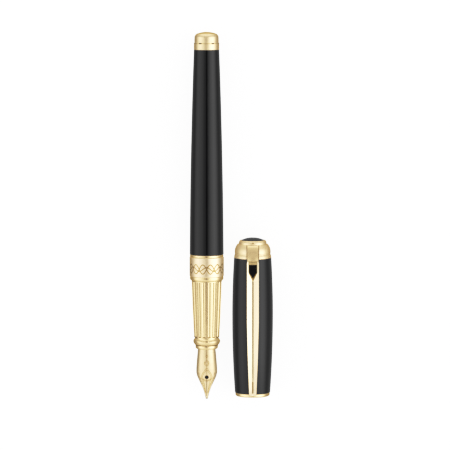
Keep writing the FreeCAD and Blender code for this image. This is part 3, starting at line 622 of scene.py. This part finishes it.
# The height of its upper edges: the tip, the bow, and the strap.
TIP_TOP, TIP_RISE = 6.92, 0.38
BOW_TOP, BOW_RISE, BOW_SWELL = 7.3, 0.65, 0.92
STRAP_TOP = (
    (47.8, 7.96), (48.25, 7.78), (48.8, 7.42), (49.4, 7.06), (50.5, 6.62),
    (51.6, 6.22), (52.5, 5.82), (53.1, 5.5), (53.3, 5.3),
)
# How far the two facets start below the upper edges, how far they fall to the middle, and their corners'
# shares of the half width.
FACET_DROP = 0.06
FACET_FALL = ((1.1, 0.1), (3.5, 0.35), (20, 0.8), (41, 0.8), (48.0, 0.45), (49.4, 0.0))
FACET_SHARES = (0.62, 0.35)
# The cut along the middle: its depth and half width, and the ends of the line of painted shade in it and its
# share of the depth.
CUT_DEPTH = ((1.1, 0.1), (3, 0.4), (40, 0.42), (47.5, 0.3), (48.4, 0.0))
CUT_HALF = 0.27
LINE_FROM, LINE_TO, LINE_SHARE = 2, 40, 0.45
# The half widths of the window and its inlay, and the height of its floor, which at the ledge rises to the
# facets this far from the middle, and at the point to this depth below them.
WINDOW_SIDE = ((41.3, 0.14), (44.3, 1.56), (48.2, 1.56))
INLAY_SIDE = ((42.7, 0.02), (44.4, 1.4), (48.2, 1.4))
WINDOW_FLOOR = 7.5
LEDGE_ACROSS, POINT_DEPTH = 0.8, 0.1
# The columns of a cross-section's faces that are the window's walls and floor.
WINDOW_COLUMNS = range(4, 10)
CLIP_STATIONS = (
    1.1, 1.14, 1.18, 1.3, 1.42, 1.55, 2.2, 3, 4.5, 6.5, 9, 12, 15, 18, 21, 24, 27, 30, 33, 36, 38, 40, 41.2,
    41.3, 42.0, 42.7, 43.3, 43.9, 44.4, 44.5, 45.3, 46.2, 46.95, 47.0, 47.4, 47.8, 48.15, 48.25, 48.5, 48.8,
    49.1, 49.4, 49.9, 50.5, 51.1, 51.6, 52.1, 52.5, 52.8, 53.1, 53.3,
)

# The painted shade in the gaps beside the strap: its inner and outer sides, its floor, and its top by
# station.
GAP_INNER, GAP_OUTER, GAP_FLOOR = 1.98, 2.17, 3.55
GAP_TOP = ((48.75, 5.55), (50.0, 5.4), (51.5, 5.35), (52.6, 4.95), (53.4, 4.4))
# The bezel's sink: radius and height of each layer.
DOT_LAYERS = ((0.3, -0.2), (0.3, 0.02), (0.22, 0.03), (0.05, -0.03))


def on_cap(x, at, z):
    """A point given in the cap's millimetres."""
    return Vector((CAP_AXIS.x + x * MM, CAP_ZERO + at * MM, CAP_AXIS.z + z * MM))


def clip_top(at):
    """Height of the clip's upper edges."""
    if at >= STRAP_FROM:
        return between(STRAP_TOP, at)
    if at < BOW_FROM:
        return TIP_TOP + TIP_RISE * math.sin((at - CLIP_FRONT) / (BOW_FROM - CLIP_FRONT) * math.pi / 2)
    share = (at - BOW_FROM) / (BOW_TO - BOW_FROM)
    return BOW_TOP + BOW_RISE * share + BOW_SWELL * 4 * share * (1 - share)


def facet_height(at, across):
    """Height of the facets that fall from the clip's upper edges to its middle."""
    return clip_top(at) - FACET_DROP - between(FACET_FALL, at) * (1 - across / between(CLIP_WIDTH, at))


def window_floor(at):
    """Height of the window's floor, which rises to the facets at both its ends."""
    if at > WINDOW_REAR:
        end, share = facet_height(at, LEDGE_ACROSS), (at - WINDOW_REAR) / (WINDOW_LEDGE - WINDOW_REAR)
    elif at < INLAY_TIP:
        end, share = facet_height(at, 0) - POINT_DEPTH, (INLAY_TIP - at) / (INLAY_TIP - WINDOW_TIP)
    else:
        return WINDOW_FLOOR
    return WINDOW_FLOOR + (end - WINDOW_FLOOR) * share


def clip_middle(at):
    """The middle of a cross-section, from the right to its centre: the window, or the facets and the cut."""
    if WINDOW_TIP <= at <= WINDOW_LEDGE:
        side = between(WINDOW_SIDE, at)
        inner = min(between(INLAY_SIDE, at), side - 0.05)
        floor = window_floor(at)
        return [(side, facet_height(at, side)), (inner, floor), (inner * 0.5, floor), (0, floor)]
    across = [between(CLIP_WIDTH, at) * share for share in FACET_SHARES] + [CUT_HALF]
    return [(x, facet_height(at, x)) for x in across] + [(0, facet_height(at, 0) - between(CUT_DEPTH, at))]


def clip_row(at):
    """One cross-section of the clip: its right half from underside to middle, and the mirror image."""
    half, top, under = between(CLIP_WIDTH, at), clip_top(at), between(CLIP_UNDER, at)
    edge = min(0.1, half * 0.2)
    sides = [(half - 0.15, under), (half, under + 0.12), (half, top - 0.16), (half - edge, top - 0.05)]
    right = sides + clip_middle(at)
    left = [(-x, z) for x, z in reversed(right[:-1])]
    return [on_cap(x, at, z) for x, z in right + left]


def paint_clip(clip):
    """Paints shade in the window, darkest at its pointed end and softer on its walls and floor, and gives the
    strap the plain gold.
    """
    for material in ("painted_shade_deep", "painted_shade_gold", "gold"):
        clip.data.materials.append(materials[material])
    point, window, strap = 1, 2, 3
    columns = len(clip_row(CLIP_FRONT))
    for row, at in enumerate(CLIP_STATIONS[:-1]):
        for column in range(columns):
            face = clip.data.polygons[row * columns + column]
            if WINDOW_TIP <= at <= WINDOW_LEDGE and column in WINDOW_COLUMNS:
                face.material_index = point if at < WINDOW_WIDE else window
            elif at >= WINDOW_LEDGE:
                face.material_index = strap


def make_clip():
    """The clip in one piece: tip, two long facets that fall to a cut, window frame, strap and lug."""
    points, faces = skin([clip_row(at) for at in CLIP_STATIONS])
    shape = points, [tuple(reversed(face)) for face in faces]
    clip = add_piece("clip_body", shape, "clip_gold", "clip", crease=22)
    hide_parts("clip")
    paint_clip(clip)


def make_clip_cut_shade():
    """A line of painted shade in the cut along the clip's middle."""
    route = []
    for at in range(LINE_FROM, LINE_TO + 1):
        height = facet_height(at, 0) - between(CUT_DEPTH, at) * LINE_SHARE
        route.append((on_cap(0, at, height), Vector((0, 0, 1))))
    add_piece("clip_cut_shade", ribbon(route, width=0.38 * MM), "painted_shade_brown", "clip")


def make_slot_shade():
    """Strips of painted shade deep in the two narrow gaps between the strap and the crown's slot."""
    parts = []
    for side in (-1, 1):
        rows = []
        for at, top in GAP_TOP:
            corners = ((GAP_INNER, GAP_FLOOR), (GAP_OUTER, GAP_FLOOR), (GAP_OUTER, top), (GAP_INNER, top))
            rows.append([on_cap(side * x, at, z) for x, z in corners])
        parts.append(skin(rows))
    add_piece("slot_shade", merge(parts), "painted_shade_deep", "cap")


def make_bezel_dot():
    """A small sink in the bezel behind the strap, dark with painted shade."""
    centre = centre_of("bezel")
    place = Vector((centre.x, centre.y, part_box("bezel")[1].z - 0.02 * MM))
    add_piece("bezel_dot", oval_stack(place, 1, 1, DOT_LAYERS, 16), "painted_shade_brown", "cap")


# ---------------------------------------------------------------- thread


def make_thread():
    """The helical ridge on the core's nipple, which shows when the barrel is off."""
    centre = centre_of("section_core")
    radius, pitch, height, foot = 4.3 * MM, 0.75 * MM, 0.045 * MM, -0.05 * MM
    profile = ((-0.35 * pitch, foot), (0, height), (0.35 * pitch, foot))
    after_collar, before_end, steps = 0.9 * MM, 0.6 * MM, 36
    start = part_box("collar_band")[1].y + after_collar
    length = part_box("section_core")[1].y - before_end - start
    count = int(length / pitch * steps)
    rows = []
    for i in range(count + 1):
        angle, along = math.tau * i / steps, start + pitch * i / steps
        fade = min(1, i / steps, (count - i) / steps) or 0.02
        corners = [(along + shift, radius + rise * fade) for shift, rise in profile]
        rows.append([round_place(centre, y, angle, reach)[0] for y, reach in corners])
    add_piece("core_thread", skin(rows), "brass_core", "section")


# ---------------------------------------------------------------- studio

# The soft light round the pen's axis: degrees from straight up, positive towards +X, and its brightness.
LIGHT_BY_ANGLE = (
    (-180, 0.30), (-140, 0.30), (-112, 0.27), (-97, 0.40), (-84, 0.95),
    (-67, 1.25), (-48, 1.10), (-30, 0.85), (-18, 0.48), (-8, 0.34),
    (8, 0.34), (18, 0.85), (34, 1.50), (54, 1.95), (70, 1.60),
    (84, 0.85), (96, 0.42), (112, 0.34), (140, 0.34), (180, 0.30),
)
# A dark slit straight above, across X and limited along Y, where the camera stands between the panels.
SLIT_ACROSS = ((-6, 0.0), (-3, 0.85), (4, 0.85), (8, 0.0))
SLIT_ALONG = ((-19, 0.0), (-13, 1.0), (7, 1.0), (14, 0.0))
# Ahead of the nib the two panels join above the pen: degrees as before, and the share by degrees along Y.
JOINED_BY_ANGLE = (
    (-180, 0.28), (-98, 0.30), (-84, 0.75), (-65, 0.95), (-30, 0.92), (0, 0.80),
    (30, 0.95), (60, 1.10), (84, 0.80), (98, 0.32), (180, 0.28),
)
JOINED_SHARE = ((-19, 1.0), (-12, 0.0))
# Beyond the panels' ends a soft light takes over: degrees towards the tail, its brightness and its share.
END_LIGHT = (
    (-90, 0.55), (-50, 0.7), (-25, 0.8), (25, 0.42), (34, 0.43),
    (42, 0.52), (50, 0.60), (57, 0.92), (64, 1.05), (90, 0.7),
)
END_SHARE = ((-65, 1.0), (-45, 0.4), (-30, 0.0), (14, 0.0), (28, 0.9), (42, 1.0))


class World:
    """Node helpers for the light that comes from all round."""

    def __init__(self):
        world = bpy.data.worlds.new("studio")
        bpy.context.scene.world = world
        world.use_nodes = True
        self.tree = world.node_tree
        self.background = self.tree.nodes["Background"]
        direction = self.tree.nodes.new("ShaderNodeTexCoord")
        split = self.tree.nodes.new("ShaderNodeSeparateXYZ")
        self.tree.links.new(direction.outputs["Generated"], split.inputs["Vector"])
        self.axes = split.outputs

    def math(self, operation, *values):
        node = self.tree.nodes.new("ShaderNodeMath")
        node.operation = operation
        for socket, value in zip(node.inputs, values):
            if isinstance(value, (int, float)):
                socket.default_value = value
            else:
                self.tree.links.new(value, socket)
        return node.outputs[0]

    def grey(self, value):
        node = self.tree.nodes.new("ShaderNodeCombineColor")
        for socket in node.inputs:
            self.tree.links.new(value, socket)
        return node.outputs[0]

    def mix(self, blend, one, other, factor=1.0):
        """Two colours blended into one."""
        node = self.tree.nodes.new("ShaderNodeMix")
        node.data_type = "RGBA"
        node.blend_type = blend
        colours = [socket for socket in node.inputs if socket.type == "RGBA"]
        self.tree.links.new(one, colours[0])
        self.tree.links.new(other, colours[1])
        if isinstance(factor, float):
            node.inputs[0].default_value = factor
        else:
            self.tree.links.new(factor, node.inputs[0])
        return next(output for output in node.outputs if output.type == "RGBA")

    def ramp(self, radians, stops, reach):
        """A colour ramp over an angle from -reach to +reach degrees."""
        turn = self.tree.nodes.new("ShaderNodeMapRange")
        limit = math.radians(reach)
        for socket, value in (("From Min", -limit), ("From Max", limit), ("To Min", 0), ("To Max", 1)):
            turn.inputs[socket].default_value = value
        self.tree.links.new(radians, turn.inputs["Value"])
        ramp = self.tree.nodes.new("ShaderNodeValToRGB")
        elements = ramp.color_ramp.elements
        while len(elements) < len(stops):
            elements.new(0.5)
        for element, (degrees, colour) in zip(elements, stops):
            element.position = degrees / (2 * reach) + 0.5
            element.color = (*colour, 1)
        self.tree.links.new(turn.outputs["Result"], ramp.inputs["Fac"])
        return ramp.outputs["Color"]


def light_the_world():
    """A world of two long soft panels either side of a dark slit straight above the pen."""
    world = World()
    across = world.math("ARCTAN2", world.axes["X"], world.axes["Z"])
    along = world.math("ARCSINE", world.axes["Y"])
    brightest = max(level for _, level in LIGHT_BY_ANGLE)

    def levels(angle, stops, reach, most=1.0):
        return world.ramp(angle, [(degrees, [level / most] * 3) for degrees, level in stops], reach)

    slit = world.math("MULTIPLY", levels(across, SLIT_ACROSS, 180), levels(along, SLIT_ALONG, 90))
    open_share = world.grey(world.math("SUBTRACT", 1, slit))
    panels = world.mix("MULTIPLY", levels(across, LIGHT_BY_ANGLE, 180, brightest), open_share)
    joined = levels(across, JOINED_BY_ANGLE, 180, brightest)
    ends = levels(along, END_LIGHT, 90, brightest)
    lit = world.mix("MIX", panels, joined, levels(along, JOINED_SHARE, 90))
    lit = world.mix("MIX", lit, ends, levels(along, END_SHARE, 90))
    world.tree.links.new(lit, world.background.inputs["Color"])
    world.background.inputs["Strength"].default_value = brightest


def glowing(name, colour, strength):
    """A matt surface that also gives off a little light of its own."""
    shader = Shader(name, colour, 0.8)
    shader.set("Emission Color", (1, 1, 1, 1))
    shader.set("Emission Strength", strength)
    return shader.material


def make_floor():
    """A plain pale floor, and a plain pale backdrop far round it."""
    bpy.ops.mesh.primitive_plane_add(size=8, location=(0, 0, cad_low.z))
    floor = bpy.context.object
    floor.name = "floor"
    floor.data.materials.append(glowing("floor_white", (0.2, 0.2, 0.2), 0.84))
    floor.visible_glossy = False
    bpy.ops.mesh.primitive_uv_sphere_add(segments=48, ring_count=24, radius=12)
    backdrop = bpy.context.object
    backdrop.name = "backdrop"
    backdrop.data.materials.append(glowing("backdrop_white", (0, 0, 0), 1.0))
    backdrop.visible_glossy = False
    backdrop.visible_diffuse = False
    backdrop.visible_shadow = False
    backdrop.visible_transmission = False


# The camera aims a little beside the model's middle, at about the height of the pen's axis.
CAMERA_DISTANCE = 0.974
CAMERA_TILT = math.radians(5.6)
CAMERA_LENS = 224
AIM_ASIDE, AIM_ALONG, AIM_HEIGHT = -2.2 * MM, -2.97 * MM, 6 * MM


def make_camera():
    """Looks nearly straight down, from a little towards the tail."""
    data = bpy.data.cameras.new("camera")
    data.sensor_width = 36
    data.lens = CAMERA_LENS
    camera = bpy.data.objects.new("camera", data)
    bpy.context.scene.collection.objects.link(camera)
    centre = (cad_low + cad_high) / 2
    aim = Vector((centre.x + AIM_ASIDE, centre.y + AIM_ALONG, AIM_HEIGHT))
    back = Vector((0, math.sin(CAMERA_TILT), math.cos(CAMERA_TILT)))
    camera.location = aim + back * CAMERA_DISTANCE
    camera.rotation_euler = (-CAMERA_TILT, 0, 0)
    bpy.context.scene.camera = camera


# Points of the tone curve between black and white.
TONES = ((0.12, 0.12), (0.25, 0.30), (0.4, 0.54), (0.5, 0.67), (0.75, 0.88))


def set_tones():
    """Standard colours with lifted upper mid tones, as in a bright studio print."""
    view = bpy.context.scene.view_settings
    view.view_transform = "Standard"
    view.use_curve_mapping = True
    whole_picture = 3
    for place, level in TONES:
        view.curve_mapping.curves[whole_picture].points.new(place, level)
    view.curve_mapping.update()


# ---------------------------------------------------------------- the scene

dress_cad_nodes()
finish_nib()
engrave_collar()
make_bead_boss()
make_bead_groove_shade()
make_flute_end_shade()
make_tail_groove_shade()
make_clip()
make_clip_cut_shade()
make_slot_shade()
make_bezel_dot()
make_thread()
light_the_world()
make_floor()
make_camera()
set_tones()
